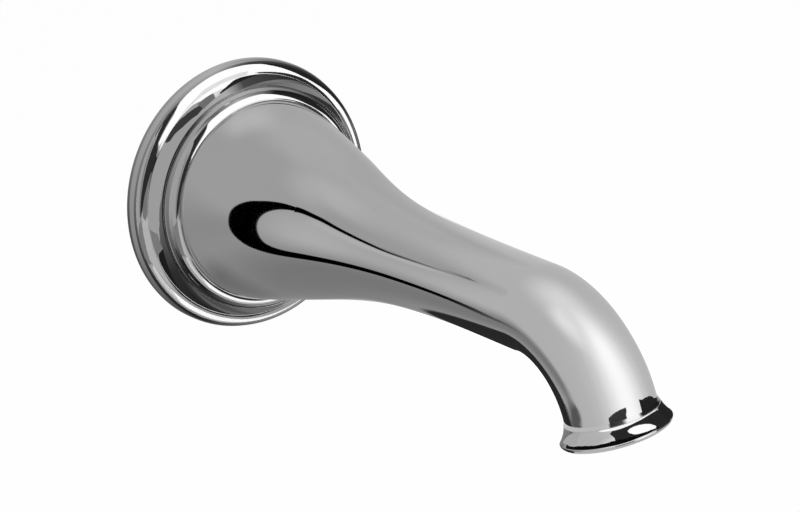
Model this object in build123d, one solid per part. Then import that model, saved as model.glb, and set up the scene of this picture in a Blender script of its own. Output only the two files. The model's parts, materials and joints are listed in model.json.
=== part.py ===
from build123d import *
import math
import os

# Wall-mounted bath spout, in millimetres, +Z up. The origin is the centre of the flange's back, on
# the finished wall, which is the plane y = 0. The spout reaches out from the wall along -Y.
# "Height" below means distance from the wall.

# Wall flange: heights and diameters of the corners of its turned face, from the rim inwards, and
# how far the curves between them rise over (bulge) or fall under (sink) their chords
FLANGE_D = 80.0
RIM_H = 2.0
KNUCKLE_D = 79.2
KNUCKLE_H = 3.4
ROLL_D = 77.4
ROLL_H = 4.6
ROLL_BULGE = 0.14
LEDGE_D = 72.0
LEDGE_H = 5.5
LEDGE_BULGE = 0.17
COVE_D = 66.2
COVE_H = 9.1
COVE_SINK = 0.18
COLLAR_D = 64.6
COLLAR_H = 11.35
COLLAR_BULGE = 0.18
SEAT_EDGE_D = 60.0
SEAT_H = 13.0
SHOULDER_BULGE = 0.21
SEAT_T = 2.6
FLANGE_WALL = 2.4
HOLLOW_STEP_H = 4.2
BACK_EDGE = 0.4

# Gasket in the back of the flange
GASKET_T = 2.0
GASKET_W = 3.2
GASKET_LIP_W = 2.0
GASKET_GAP = 0.1

# Spout body: flare, arm, bend and lip
BASE_D = 59.4
BASE_EDGE = 0.3
BASE_TAPER = 12.5
FLARE_LENGTH = 122.0
FLARE_BASE_PULL = 58.5
FLARE_NECK_PULL = 68.0
ARM_D = 25.7
ARM_STRAIGHT = 12.8
ARM_DROOP = 1.4
BEND_R = 25.5
OUTLET_ANGLE = 81.6
NOSE_LENGTH = 2.3
NOSE_COVE_LENGTH = 0.9
CREASE_D = 26.6
SKIRT_LENGTH = 4.3
SKIRT_TAPER = 14.0
LIP_D = 31.0
LIP_RIM_T = 1.3
LIP_ROUND = 1.0
MOUTH_RIM_W = 1.3
MOUTH_FLARE = 2.4
BODY_WALL = 2.6

# Back of the body: spigot in the flange, hub over the adapter, wall between hub and waterway
SPIGOT_D = 53.0
SPIGOT_LENGTH = 3.0
SPIGOT_WALL = 2.6
SPIGOT_GAP = 0.1
BASE_RING_T = 3.0
HUB_WALL = 3.4
BULKHEAD_H = 43.0
BULKHEAD_T = 4.0
WATERWAY_D = 21.0

# Brass adapter that screws onto the pipe stub
ADAPTER_D = 27.0
ADAPTER_GAP = 0.1
ADAPTER_BACK = 2.0
ADAPTER_FRONT = 42.0
ADAPTER_CHAMFER = 1.0
HEX_AF = 30.0
HEX_LENGTH = 6.0
THREAD_D = 20.9
THREAD_DEPTH = 16.0
THREAD_CHAMFER = 0.8
ADAPTER_BORE_D = 15.0

# O-rings: squeezed between groove floor and hub
GROOVE_FLOOR_D = 23.1
GROOVE_W = 3.4
O_RING_W = 2.9
REAR_GROOVE_H = 29.0
FRONT_GROOVE_H = 36.0

# Set screw from below, and the groove that its point sits in
SCREW_D = 6.0
SCREW_GAP = 0.05
SCREW_LENGTH = 12.0
SCREW_H = 20.5
SCREW_POINT_D = 3.0
SCREW_SOCKET_AF = 3.0
SCREW_SOCKET_DEPTH = 3.5
SCREW_BOSS_D = 11.0
SCREW_SEAT_D = 25.2
SCREW_SEAT_W = 6.4

# How far a cutting form runs past the face that it cuts
CUT_MARGIN = 1.0

os.makedirs("parts", exist_ok=True)

ARM_R = ARM_D / 2
ARM_LENGTH = FLARE_LENGTH + ARM_STRAIGHT
BORE_R = ARM_R - BODY_WALL
HUB_BORE_R = ADAPTER_D / 2 + ADAPTER_GAP
HUB_R = HUB_BORE_R + HUB_WALL
SPIGOT_BACK = SEAT_H - SPIGOT_LENGTH
WALL_AXIS = Axis((0, 0, 0), (0, -1, 0))

# Section plane of everything turned about the wall's normal: x is the radius, y the height
TURNING = Plane(origin=(0, 0, 0), x_dir=(1, 0, 0), z_dir=(0, 0, -1))


def outlet_direction(angle):
    """Unit vector along the waterway where it falls by this angle below level."""
    return Vector(0, -math.cos(math.radians(angle)), -math.sin(math.radians(angle)))


def inward_direction(angle):
    """Unit vector from the waterway's centre line towards the inside of the bend."""
    return Vector(0, math.sin(math.radians(angle)), -math.cos(math.radians(angle)))


SEAT_POINT = Vector(0, -SEAT_H, 0)
ARM_END = SEAT_POINT + outlet_direction(ARM_DROOP) * ARM_LENGTH
BEND_CENTRE = ARM_END + inward_direction(ARM_DROOP) * BEND_R
BEND_END = BEND_CENTRE - inward_direction(OUTLET_ANGLE) * BEND_R

# Section planes along the waterway: x is the way along it, y the radius, taken upwards
ARM_SECTION = Plane(origin=SEAT_POINT, x_dir=outlet_direction(ARM_DROOP), z_dir=(-1, 0, 0))
NOSE_SECTION = Plane(origin=BEND_END, x_dir=outlet_direction(OUTLET_ANGLE), z_dir=(-1, 0, 0))


def turned(*lines):
    """Ring turned about the wall's normal from a closed outline of radius and height."""
    return revolve(TURNING * make_face(Curve() + list(lines)), WALL_AXIS)


def disc(diameter, back, front):
    """Plain cylinder about the wall's normal between two heights."""
    radius = diameter / 2
    return turned(Polyline((0, back), (radius, back), (radius, front), (0, front), close=True))


def beyond(height, form):
    """The share of a form that lies further from the wall than a height."""
    return split(form, bisect_by=Plane(origin=(0, -height, 0), z_dir=(0, -1, 0)), keep=Keep.TOP)


def within(height, form):
    """The share of a form that lies nearer to the wall than a height."""
    return split(form, bisect_by=Plane(origin=(0, -height, 0), z_dir=(0, -1, 0)), keep=Keep.BOTTOM)


def flare_and_arm(inset):
    """Flare and straight arm, turned about the drooping arm's own axis."""
    base_r = BASE_D / 2 - inset
    neck_r = ARM_R - inset
    taper = math.tan(math.radians(BASE_TAPER))
    tail = base_r * math.tan(math.radians(ARM_DROOP)) + CUT_MARGIN
    start = (-tail, base_r + tail * taper)
    curve = Bezier(
        (0, base_r),
        (FLARE_BASE_PULL, base_r - FLARE_BASE_PULL * taper),
        (FLARE_LENGTH - FLARE_NECK_PULL, neck_r),
        (FLARE_LENGTH, neck_r),
    )
    outline = Curve() + [
        Line((-tail, 0), start),
        Line(start, (0, base_r)),
        curve,
        Polyline((FLARE_LENGTH, neck_r), (ARM_LENGTH, neck_r), (ARM_LENGTH, 0), (-tail, 0)),
    ]
    axis = Axis(SEAT_POINT, outlet_direction(ARM_DROOP))
    return revolve(ARM_SECTION * make_face(outline), axis)


def bend(radius):
    """Round bend from the arm's end down to the nose."""
    start = Plane(origin=ARM_END, x_dir=(1, 0, 0), z_dir=outlet_direction(ARM_DROOP))
    section = start * Circle(radius)
    return revolve(section, Axis(BEND_CENTRE, (1, 0, 0)), OUTLET_ANGLE - ARM_DROOP)


def lip():
    """Nose and flared lip: a short cove to a fine crease, a hollow skirt and a rim with a round edge."""
    skirt_end = NOSE_LENGTH + SKIRT_LENGTH
    mouth = skirt_end + LIP_RIM_T
    lip_r = LIP_D / 2
    crease = (NOSE_LENGTH, CREASE_D / 2)
    taper = math.radians(SKIRT_TAPER)
    cove_start = (NOSE_LENGTH - NOSE_COVE_LENGTH, ARM_R)
    cove = TangentArc(cove_start, crease, tangent=(1, 0))
    skirt = TangentArc(crease, (skirt_end, lip_r), tangent=(math.cos(taper), math.sin(taper)))
    round_start = (mouth - LIP_ROUND, lip_r)
    round_end = (mouth, lip_r - LIP_ROUND)
    outline = Curve() + [
        Polyline((0, 0), (0, ARM_R), cove_start),
        cove,
        skirt,
        Line((skirt_end, lip_r), round_start),
        TangentArc(round_start, round_end, tangent=(1, 0)),
        Polyline(round_end, (mouth, 0), (0, 0)),
    ]
    axis = Axis(BEND_END, outlet_direction(OUTLET_ANGLE))
    return revolve(NOSE_SECTION * make_face(outline), axis)


def mouth_bore():
    """Outlet bore through the nose, widening at the mouth."""
    mouth = NOSE_LENGTH + SKIRT_LENGTH + LIP_RIM_T
    mouth_r = LIP_D / 2 - LIP_ROUND - MOUTH_RIM_W
    widen = mouth - MOUTH_FLARE
    past = mouth + CUT_MARGIN
    flare = TangentArc((widen, BORE_R), (mouth, mouth_r), tangent=(1, 0))
    outline = Curve() + [
        flare,
        Polyline((mouth, mouth_r), (past, mouth_r), (past, 0), (0, 0), (0, BORE_R), (widen, BORE_R)),
    ]
    axis = Axis(BEND_END, outlet_direction(OUTLET_ANGLE))
    return revolve(NOSE_SECTION * make_face(outline), axis)


def along_screw(radius, inner, outer):
    """Cylinder on the set screw's axis, between two distances below the adapter's axis."""
    base = Plane(origin=(0, -SCREW_H, -inner), x_dir=(1, 0, 0), z_dir=(0, 0, -1))
    return extrude(base * Circle(radius), outer - inner)


def spout_body():
    """One casting: flare, arm, bend and lip outside, hub and spigot inside."""
    outside = beyond(SEAT_H, flare_and_arm(0))
    outside = chamfer(outside.edges().group_by(Axis.Y)[-1], BASE_EDGE)
    shell = flare_and_arm(BODY_WALL)

    dry_front = within(BULKHEAD_H, beyond(SEAT_H + BASE_RING_T, shell))
    dry_back = disc(SPIGOT_D - 2 * SPIGOT_WALL, SPIGOT_BACK - CUT_MARGIN, SEAT_H + BASE_RING_T)
    hub = disc(2 * HUB_R, SPIGOT_BACK - CUT_MARGIN, BULKHEAD_H)
    boss = along_screw(SCREW_BOSS_D / 2, HUB_BORE_R, BASE_D)
    dry = dry_front + dry_back - hub - boss
    wet = beyond(BULKHEAD_H + BULKHEAD_T, shell) + bend(BORE_R) + mouth_bore()

    spigot = disc(SPIGOT_D, SPIGOT_BACK, SEAT_H + BASE_RING_T)
    solid = outside + bend(ARM_R) + lip() + spigot - dry - wet
    solid = solid - disc(2 * HUB_BORE_R, SPIGOT_BACK - CUT_MARGIN, BULKHEAD_H)
    solid = solid - disc(WATERWAY_D, BULKHEAD_H - CUT_MARGIN, BULKHEAD_H + BULKHEAD_T + CUT_MARGIN)
    return solid - along_screw(SCREW_D / 2 + SCREW_GAP, HUB_BORE_R - CUT_MARGIN, BASE_D)


def bowed(start, end, bulge):
    """Arc of the flange's face between two corners, its middle this far outside the chord."""
    return SagittaArc(start, end, -bulge)


def wall_flange():
    """Turned ring: rim, rolled edge, domed ledge, cove, collar and rounded shoulder, hollow behind."""
    rim_r = FLANGE_D / 2
    hole_r = SPIGOT_D / 2 + SPIGOT_GAP
    lip_r = rim_r - GASKET_LIP_W
    shelf_r = lip_r - GASKET_W - 2 * GASKET_GAP
    hollow_r = COLLAR_D / 2 - FLANGE_WALL
    rim = (rim_r, RIM_H)
    knuckle = (KNUCKLE_D / 2, KNUCKLE_H)
    roll = (ROLL_D / 2, ROLL_H)
    ledge = (LEDGE_D / 2, LEDGE_H)
    cove = (COVE_D / 2, COVE_H)
    collar = (COLLAR_D / 2, COLLAR_H)
    seat = (SEAT_EDGE_D / 2, SEAT_H)
    face = [
        Polyline((lip_r, 0), (rim_r - BACK_EDGE, 0), (rim_r, BACK_EDGE), rim, knuckle),
        bowed(knuckle, roll, ROLL_BULGE),
        bowed(roll, ledge, LEDGE_BULGE),
        bowed(ledge, cove, -COVE_SINK),
        bowed(cove, collar, COLLAR_BULGE),
        bowed(collar, seat, SHOULDER_BULGE),
    ]
    back = Polyline(
        seat,
        (hole_r, SEAT_H),
        (hole_r, SEAT_H - SEAT_T),
        (hollow_r, SEAT_H - SEAT_T),
        (hollow_r, HOLLOW_STEP_H),
        (shelf_r, HOLLOW_STEP_H),
        (shelf_r, GASKET_T),
        (lip_r, GASKET_T),
        (lip_r, 0),
    )
    return turned(*face, back)


def wall_gasket():
    """Flat rubber ring under the flange's shelf, flush with the flange's back."""
    outer = FLANGE_D / 2 - GASKET_LIP_W - GASKET_GAP
    inner = outer - GASKET_W
    return turned(Polyline((inner, 0), (outer, 0), (outer, GASKET_T), (inner, GASKET_T), close=True))


def inlet_adapter():
    """Turned brass sleeve with a hexagon, pipe thread bore, O-ring grooves and screw seat."""
    past = ADAPTER_D / 2 + CUT_MARGIN
    sleeve = disc(ADAPTER_D, ADAPTER_BACK, ADAPTER_FRONT)
    front_edge = sleeve.edges().sort_by(Axis.Y)[0]
    sleeve = chamfer(front_edge, ADAPTER_CHAMFER)
    back = Plane(origin=(0, -ADAPTER_BACK, 0), x_dir=(1, 0, 0), z_dir=(0, -1, 0))
    hexagon = extrude(back * RegularPolygon(HEX_AF / 2, 6, major_radius=False), HEX_LENGTH)
    blank = sleeve + hexagon
    for centre, width, floor in (
        (REAR_GROOVE_H, GROOVE_W, GROOVE_FLOOR_D / 2),
        (FRONT_GROOVE_H, GROOVE_W, GROOVE_FLOOR_D / 2),
        (SCREW_H, SCREW_SEAT_W, SCREW_SEAT_D / 2),
    ):
        low = centre - width / 2
        high = centre + width / 2
        blank -= turned(
            Polyline((floor, low), (past, low), (past, high), (floor, high), close=True)
        )
    thread_r = THREAD_D / 2
    bore_r = ADAPTER_BORE_D / 2
    thread_end = ADAPTER_BACK + THREAD_DEPTH
    drill = thread_end + (thread_r - bore_r)
    return blank - turned(
        Polyline(
            (0, ADAPTER_BACK),
            (thread_r + THREAD_CHAMFER, ADAPTER_BACK),
            (thread_r, ADAPTER_BACK + THREAD_CHAMFER),
            (thread_r, thread_end),
            (bore_r, drill),
            (bore_r, ADAPTER_FRONT),
            (0, ADAPTER_FRONT),
            close=True,
        )
    )


def o_ring(height):
    """Rubber ring squeezed flat between the groove's floor and the hub."""
    squeeze = HUB_BORE_R - GROOVE_FLOOR_D / 2
    middle = GROOVE_FLOOR_D / 2 + squeeze / 2
    section = TURNING * Pos(middle, height) * SlotOverall(O_RING_W, squeeze, rotation=90)
    return revolve(section, WALL_AXIS)


def set_screw():
    """Grub screw with a hexagon socket below and a short cone at its point."""
    point = SCREW_SEAT_D / 2 + SCREW_GAP
    cone = (SCREW_D - SCREW_POINT_D) / 2
    shank = along_screw(SCREW_D / 2, point, point + SCREW_LENGTH)
    shank = chamfer(shank.edges().sort_by(Axis.Z)[-1], cone)
    end = Plane(origin=(0, -SCREW_H, -point - SCREW_LENGTH), x_dir=(1, 0, 0), z_dir=(0, 0, 1))
    socket = extrude(end * RegularPolygon(SCREW_SOCKET_AF / 2, 6, major_radius=False), SCREW_SOCKET_DEPTH)
    return shank - socket


nodes = {
    "spout_body": spout_body(),
    "wall_flange": wall_flange(),
    "wall_gasket": wall_gasket(),
    "inlet_adapter": inlet_adapter(),
    "rear_o_ring": o_ring(REAR_GROOVE_H),
    "front_o_ring": o_ring(FRONT_GROOVE_H),
    "set_screw": set_screw(),
}
for name, piece in nodes.items():
    export_step(piece, f"parts/{name}.step")
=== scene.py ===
# %% [markdown]
# # A chromed bath spout in Blender
# The solids of the spout come from CAD and arrive here as a fixed frame, in metres: the origin is the
# centre of the wall flange's back, the wall is the plane y = 0, and the spout reaches out along -Y.
# This lesson gives every piece a finer skin and a finish, and then builds the small studio around it,
# because polished chrome has hardly any look of its own: it shows the room.

# %% Load the frame
import json
import math

import bpy
import numpy as np
from mathutils import Matrix, Vector

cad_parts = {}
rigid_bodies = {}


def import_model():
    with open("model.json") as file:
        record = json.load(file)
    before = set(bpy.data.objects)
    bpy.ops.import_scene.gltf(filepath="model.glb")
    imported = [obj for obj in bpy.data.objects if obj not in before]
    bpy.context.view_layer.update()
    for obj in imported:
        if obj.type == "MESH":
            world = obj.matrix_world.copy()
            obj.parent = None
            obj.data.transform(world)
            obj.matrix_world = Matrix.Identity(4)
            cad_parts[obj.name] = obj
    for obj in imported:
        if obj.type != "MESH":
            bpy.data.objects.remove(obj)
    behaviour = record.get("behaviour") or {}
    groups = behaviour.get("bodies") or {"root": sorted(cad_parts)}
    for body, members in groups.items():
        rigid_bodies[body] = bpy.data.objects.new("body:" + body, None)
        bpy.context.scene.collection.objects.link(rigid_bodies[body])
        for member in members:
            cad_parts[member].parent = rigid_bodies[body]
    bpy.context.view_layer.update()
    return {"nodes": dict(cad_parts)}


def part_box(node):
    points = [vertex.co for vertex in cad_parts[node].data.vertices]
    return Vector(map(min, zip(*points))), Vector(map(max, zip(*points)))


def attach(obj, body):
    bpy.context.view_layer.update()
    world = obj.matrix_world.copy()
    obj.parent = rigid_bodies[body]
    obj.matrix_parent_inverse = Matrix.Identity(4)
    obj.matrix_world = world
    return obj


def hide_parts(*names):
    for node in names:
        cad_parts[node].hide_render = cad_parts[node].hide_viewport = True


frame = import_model()
MM = 0.001
print("CAD nodes:", sorted(frame["nodes"]))

# %% [markdown]
# ## The camera
# The viewing angle was fitted to the flange's outline, the two edges of the body and the lip. A long
# lens keeps the flange nearly as wide as it would be from far away. The camera also leans sideways by
# some degrees, so its three axes are worked out here and handed to Blender as a matrix.

# %% Place the camera
VIEW_AZIMUTH = math.radians(-30.219)
VIEW_ELEVATION = math.radians(21.184)
VIEW_LEAN = math.radians(-11.756)
VIEW_DISTANCE = 1.230
PIXELS_PER_METRE = 3406.8
IMAGE_SIZE = (800, 512)
ORIGIN_PIXEL = (244.332, 191.520)
SENSOR_WIDTH = 36.0

to_camera = Vector((
    math.sin(VIEW_AZIMUTH) * math.cos(VIEW_ELEVATION),
    -math.cos(VIEW_AZIMUTH) * math.cos(VIEW_ELEVATION),
    math.sin(VIEW_ELEVATION),
))
level = Vector((math.cos(VIEW_AZIMUTH), math.sin(VIEW_AZIMUTH), 0.0))
steep = to_camera.cross(level)
right = math.cos(VIEW_LEAN) * level + math.sin(VIEW_LEAN) * steep
up = math.cos(VIEW_LEAN) * steep - math.sin(VIEW_LEAN) * level
shift_right = (ORIGIN_PIXEL[0] - IMAGE_SIZE[0] / 2) / PIXELS_PER_METRE
shift_up = (IMAGE_SIZE[1] / 2 - ORIGIN_PIXEL[1]) / PIXELS_PER_METRE

camera = bpy.data.objects.new("camera", bpy.data.cameras.new("camera"))
bpy.context.scene.collection.objects.link(camera)
camera.data.sensor_fit = "HORIZONTAL"
camera.data.sensor_width = SENSOR_WIDTH
camera.data.lens = PIXELS_PER_METRE * VIEW_DISTANCE / IMAGE_SIZE[0] * SENSOR_WIDTH
eye = to_camera * VIEW_DISTANCE - right * shift_right - up * shift_up
turn = Matrix((right, up, to_camera)).transposed().to_4x4()
camera.matrix_world = Matrix.Translation(eye) @ turn
bpy.context.scene.camera = camera
print("lens", round(camera.data.lens, 2), "mm, eye at", [round(x, 3) for x in eye])

# %% [markdown]
# ## A small helper for node trees
# Finishes and Geometry Nodes trees are both made of nodes. One class adds nodes to a tree, and another
# stands for a node's output, so that sums on outputs can be written as plain Python.

# %% Nodes as Python
class Link:
    """One output of a node. Sums on links add Math nodes to the same tree."""

    def __init__(self, net, node, out):
        self.net = net
        self.node = node
        self.socket = node.outputs[out]

    def out(self, name):
        return Link(self.net, self.node, name)

    def math(self, operation, *values):
        return self.net.add("ShaderNodeMath", {"operation": operation}, dict(enumerate(values)))

    def __add__(self, other):
        return self.math("ADD", self, other)

    def __sub__(self, other):
        return self.math("SUBTRACT", self, other)

    def __rsub__(self, other):
        return self.math("SUBTRACT", other, self)

    def __mul__(self, other):
        return self.math("MULTIPLY", self, other)

    def __truediv__(self, other):
        return self.math("DIVIDE", self, other)

    def __mod__(self, other):
        return self.math("FLOORED_MODULO", self, other)

    __radd__ = __add__
    __rmul__ = __mul__


class Net:
    """A node tree. A node's settings are set first, and then the values or links of its sockets."""

    def __init__(self, tree):
        self.tree = tree

    def add(self, kind, settings=None, sockets=None, out=0):
        node = self.tree.nodes.new(kind)
        for name, value in (settings or {}).items():
            if name == "stops":
                self.set_stops(node.color_ramp, value)
            else:
                setattr(node, name, value)
        for key, value in (sockets or {}).items():
            if isinstance(key, int):
                socket = node.inputs[key]
            else:
                socket = next(s for s in node.inputs if s.name == key and s.enabled)
            if isinstance(value, Link):
                self.tree.links.new(value.socket, socket)
            else:
                socket.default_value = value
        return Link(self, node, out) if node.outputs else node

    def set_stops(self, ramp, stops):
        while len(ramp.elements) < len(stops):
            ramp.elements.new(1.0)
        for element, (place, tone) in zip(ramp.elements, stops):
            element.position = place
            element.color = (tone, tone, tone, 1.0)


# %% [markdown]
# ## Turned and swept pieces as chains of rings
# The flange was turned on a lathe, and the body is a round section that follows a path: a straight,
# slightly drooping arm, a round bend and a short nose. Both are rings laid one after the other, so one
# Geometry Nodes tree makes them all. Its input is a plain line with one point for each ring, which
# carries the ring's radius and the direction of its top. The tree lays a grid over the rings, bends
# the grid round and welds the seam.

# %% Geometry Nodes tree: rings to skin
RING_SOCKETS = (
    ("Steps Around", "NodeSocketInt"),
    ("Closed Chain", "NodeSocketInt"),
    ("Weld Distance", "NodeSocketFloat"),
    ("Finish", "NodeSocketMaterial"),
)
HEXAGON_PART = math.pi / 3


def new_tree(name, sockets):
    """An empty Geometry Nodes tree with named inputs, and its input and output nodes."""
    tree = bpy.data.node_groups.new(name, "GeometryNodeTree")
    tree.interface.new_socket("Geometry", in_out="INPUT", socket_type="NodeSocketGeometry")
    for socket_name, kind in sockets:
        tree.interface.new_socket(socket_name, in_out="INPUT", socket_type=kind)
    tree.interface.new_socket("Geometry", in_out="OUTPUT", socket_type="NodeSocketGeometry")
    net = Net(tree)
    return net, net.add("NodeGroupInput")


def ring_tree():
    net, given = new_tree("turned_rings", RING_SOCKETS)
    line = given.out("Geometry")
    steps = given.out("Steps Around")
    rings = net.add("GeometryNodeAttributeDomainSize", {"component": "MESH"}, {"Geometry": line})
    across = steps + 1
    grid = net.add("GeometryNodeMeshGrid", {}, {
        "Vertices X": rings.out("Point Count") + given.out("Closed Chain"),
        "Vertices Y": across,
    })
    index = net.add("GeometryNodeInputIndex")
    ring = index.math("FLOOR", (index + 0.5) / across)
    angle = (index - ring * across) * math.tau / steps
    ring = ring % rings.out("Point Count")

    def at_ring(kind, value):
        sockets = {"Geometry": line, "Value": value, "Index": ring}
        return net.add("GeometryNodeSampleIndex", {"data_type": kind, "domain": "POINT"}, sockets)

    def carried(kind, name):
        named = net.add("GeometryNodeInputNamedAttribute", {"data_type": kind}, {"Name": name})
        return at_ring(kind, named)

    centre = at_ring("FLOAT_VECTOR", net.add("GeometryNodeInputPosition"))
    radius = carried("FLOAT", "ring_radius")
    corner = carried("FLOAT", "ring_corner")
    off_flat = (angle % HEXAGON_PART) - HEXAGON_PART / 2
    hexagon = corner.math("MINIMUM", radius / off_flat.math("COSINE", off_flat), corner)
    is_hexagon = corner.math("GREATER_THAN", corner, 0.0)
    reach = radius + is_hexagon * (hexagon - radius)
    sideways = net.add("ShaderNodeCombineXYZ", {}, {"X": reach * angle.math("COSINE", angle)})
    upwards = net.add("ShaderNodeVectorMath", {"operation": "SCALE"}, {
        0: carried("FLOAT_VECTOR", "ring_top"),
        "Scale": reach * angle.math("SINE", angle),
    })
    offset = net.add("ShaderNodeVectorMath", {"operation": "ADD"}, {0: sideways, 1: upwards})
    place = net.add("ShaderNodeVectorMath", {"operation": "ADD"}, {0: centre, 1: offset})
    skin = net.add("GeometryNodeSetPosition", {}, {"Geometry": grid, "Position": place})
    skin = net.add("GeometryNodeMergeByDistance", {}, {
        "Geometry": skin, "Distance": given.out("Weld Distance"),
    })
    skin = net.add("GeometryNodeSetShadeSmooth", {}, {"Geometry": skin})
    skin = net.add("GeometryNodeRealizeInstances", {}, {"Geometry": skin})
    skin = net.add("GeometryNodeSetMaterial", {}, {"Geometry": skin, "Material": given.out("Finish")})
    net.add("NodeGroupOutput", {}, {"Geometry": skin})
    return net.tree


RING_TREE = ring_tree()
print("ring tree:", len(RING_TREE.nodes), "nodes")

# %% [markdown]
# Two helpers go with the tree. The first runs a tree on an object and keeps the result as a plain
# mesh, because instances and live trees don't leave Blender. The second writes a chain of rings as a
# line of points with the attributes that the ring tree reads, and checks that the skin is closed and
# faces outwards.

# %% Run a tree and keep a plain mesh
SHARP_ANGLE = math.radians(32)


def made_by(tree, piece, values):
    """Runs a Geometry Nodes tree on a piece, with these named inputs, and keeps the plain mesh."""
    modifier = piece.modifiers.new(tree.name, "NODES")
    modifier.node_group = tree
    for item in tree.interface.items_tree:
        if item.item_type == "SOCKET" and item.in_out == "INPUT" and item.name in values:
            modifier[item.identifier] = values[item.name]
    return baked(piece)


def baked(piece):
    """Turns a piece with live modifiers into a plain mesh of the same name."""
    shown = piece.evaluated_get(bpy.context.evaluated_depsgraph_get())
    mesh = bpy.data.meshes.new_from_object(shown)
    old = piece.data
    piece.modifiers.clear()
    piece.data = mesh
    bpy.data.meshes.remove(old)
    mesh.name = piece.name
    return piece


def signed_volume(mesh):
    """Volume inside a closed mesh; negative where its faces point inwards."""
    mesh.calc_loop_triangles()
    points = np.empty(len(mesh.vertices) * 3)
    mesh.vertices.foreach_get("co", points)
    corners = np.empty(len(mesh.loop_triangles) * 3, dtype=np.int64)
    mesh.loop_triangles.foreach_get("vertices", corners)
    a, b, c = points.reshape(-1, 3)[corners.reshape(-1, 3)].transpose(1, 0, 2)
    return float(np.einsum("ij,ij->i", a, np.cross(b, c)).sum() / 6)


def open_edges(mesh):
    """How many edges don't have exactly two faces."""
    uses = np.empty(len(mesh.loops), dtype=np.int64)
    mesh.loops.foreach_get("edge_index", uses)
    return int((np.bincount(uses, minlength=len(mesh.edges)) != 2).sum())


def new_piece(name, mesh):
    piece = bpy.data.objects.new(name, mesh)
    bpy.context.scene.collection.objects.link(piece)
    return piece


STEPS_AROUND = 192
WELD_MM = 0.002


def from_rings(name, rings, finish, closed=True, steps=STEPS_AROUND):
    """A piece from rings of (x, y, z) centre, tilt in degrees, radius and hexagon corner, in mm."""
    centres = [ring[0] for ring in rings]
    tilts = np.radians([ring[1] for ring in rings])
    tops = np.stack([0 * tilts, -np.sin(tilts), np.cos(tilts)], axis=1)
    line = bpy.data.meshes.new(name)
    line.from_pydata(np.array(centres) * MM, [], [])
    values = {
        "ring_radius": np.array([ring[2] for ring in rings]) * MM,
        "ring_corner": np.array([ring[3] for ring in rings]) * MM,
    }
    for key, numbers in values.items():
        line.attributes.new(key, "FLOAT", "POINT").data.foreach_set("value", numbers)
    line.attributes.new("ring_top", "FLOAT_VECTOR", "POINT").data.foreach_set("vector", tops.ravel())
    piece = made_by(RING_TREE, new_piece(name, line), {
        "Steps Around": steps,
        "Closed Chain": int(closed),
        "Weld Distance": WELD_MM * MM,
        "Finish": finish,
    })
    if signed_volume(piece.data) < 0:
        piece.data.flip_normals()
    piece.data.set_sharp_from_angle(angle=SHARP_ANGLE)
    volume = signed_volume(piece.data) / MM**3
    print(name, len(rings), "rings,", len(piece.data.polygons), "faces,",
          round(volume), "mm3,", open_edges(piece.data), "open edges")
    return piece


# %% [markdown]
# ## Finish: polished chrome
# Chrome plate is a thin bright skin over polished brass. It is a metal with next to no roughness, so
# nearly all of its look is reflection. Two small things keep it from looking like a mirror of glass:
# wiping leaves faint hazy patches, and polishing by hand leaves the skin very slightly wavy. Both come
# from noise that sits still in the piece's own coordinates.

# %% Chrome
CHROME_TONE = 0.60
WIPED_SHARE = 0.03
POLISH = 0.02
HAZE = 0.03
WAVE_SCALE = 55.0
WAVE_HEIGHT = 0.0002


def new_finish(name, constants):
    """A material with a Principled shader whose constant sockets are set."""
    material = bpy.data.materials.new(name)
    material.use_nodes = True
    net = Net(material.node_tree)
    shader = next(n for n in material.node_tree.nodes if n.type == "BSDF_PRINCIPLED")
    for key, value in constants.items():
        shader.inputs[key].default_value = value
    return material, net, shader


def feed(net, shader, **links):
    """Links to the shader's sockets; an underscore in a name stands for a space."""
    for key, link in links.items():
        net.tree.links.new(link.socket, shader.inputs[key.replace("_", " ")])


def grey(value):
    return (value, value, value, 1.0)


def chrome(name, haze_scale, wave_strength):
    material, net, shader = new_finish(name, {"Metallic": 1.0})
    where = net.add("ShaderNodeTexCoord", out="Object")
    haze = net.add("ShaderNodeTexNoise", {}, {"Vector": where, "Scale": haze_scale, "Detail": 4.0})
    wiped = net.add("ShaderNodeMix", {"data_type": "RGBA"}, {
        "Factor": haze.out(0),
        "A": grey(CHROME_TONE * (1 - WIPED_SHARE)),
        "B": grey(CHROME_TONE * (1 + WIPED_SHARE)),
    }, out=2)
    wave = net.add("ShaderNodeTexNoise", {}, {"Vector": where, "Scale": WAVE_SCALE, "Detail": 1.0})
    bump = net.add("ShaderNodeBump", {}, {
        "Height": wave.out(0), "Strength": wave_strength, "Distance": WAVE_HEIGHT,
    })
    feed(net, shader, Base_Color=wiped, Roughness=POLISH + HAZE * haze.out(0), Normal=bump)
    return material


body_chrome = chrome("polished_body_chrome", 34.0, 0.015)
flange_chrome = chrome("polished_flange_chrome", 60.0, 0.008)
print("finishes:", body_chrome.name, flange_chrome.name)

# %% [markdown]
# ## Profiles
# A turned piece is drawn as half of its section. Lines and arcs are sampled closely, and every corner
# gets a small round, because a real polished edge is never sharp: the round is what catches light as a
# thin line. Points crowd towards the ends of each stretch, so that shading stays flat on flat parts.

# %% Draw a profile
ROUND_STEPS = 6


def crowded(count):
    """Numbers from 0 to 1 that lie closer together at both ends."""
    return (1 - np.cos(np.linspace(0, math.pi, count))) / 2


def straight(start, end, count=9):
    share = crowded(count)[:, None]
    return np.array(start) * (1 - share) + np.array(end) * share


def arc(start, end, tangent, count=21):
    """Arc from start to end that leaves start along a tangent."""
    start, end = np.array(start, float), np.array(end, float)
    along = np.array(tangent, float) / np.hypot(*tangent)
    side = np.array([-along[1], along[0]])
    chord = end - start
    radius = chord @ chord / (2 * chord @ side)
    sweep = 2 * math.atan2(chord @ side, chord @ along)
    turn_by = sweep * crowded(count)[:, None]
    return start + radius * (np.sin(turn_by) * along + (1 - np.cos(turn_by)) * side)


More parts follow.
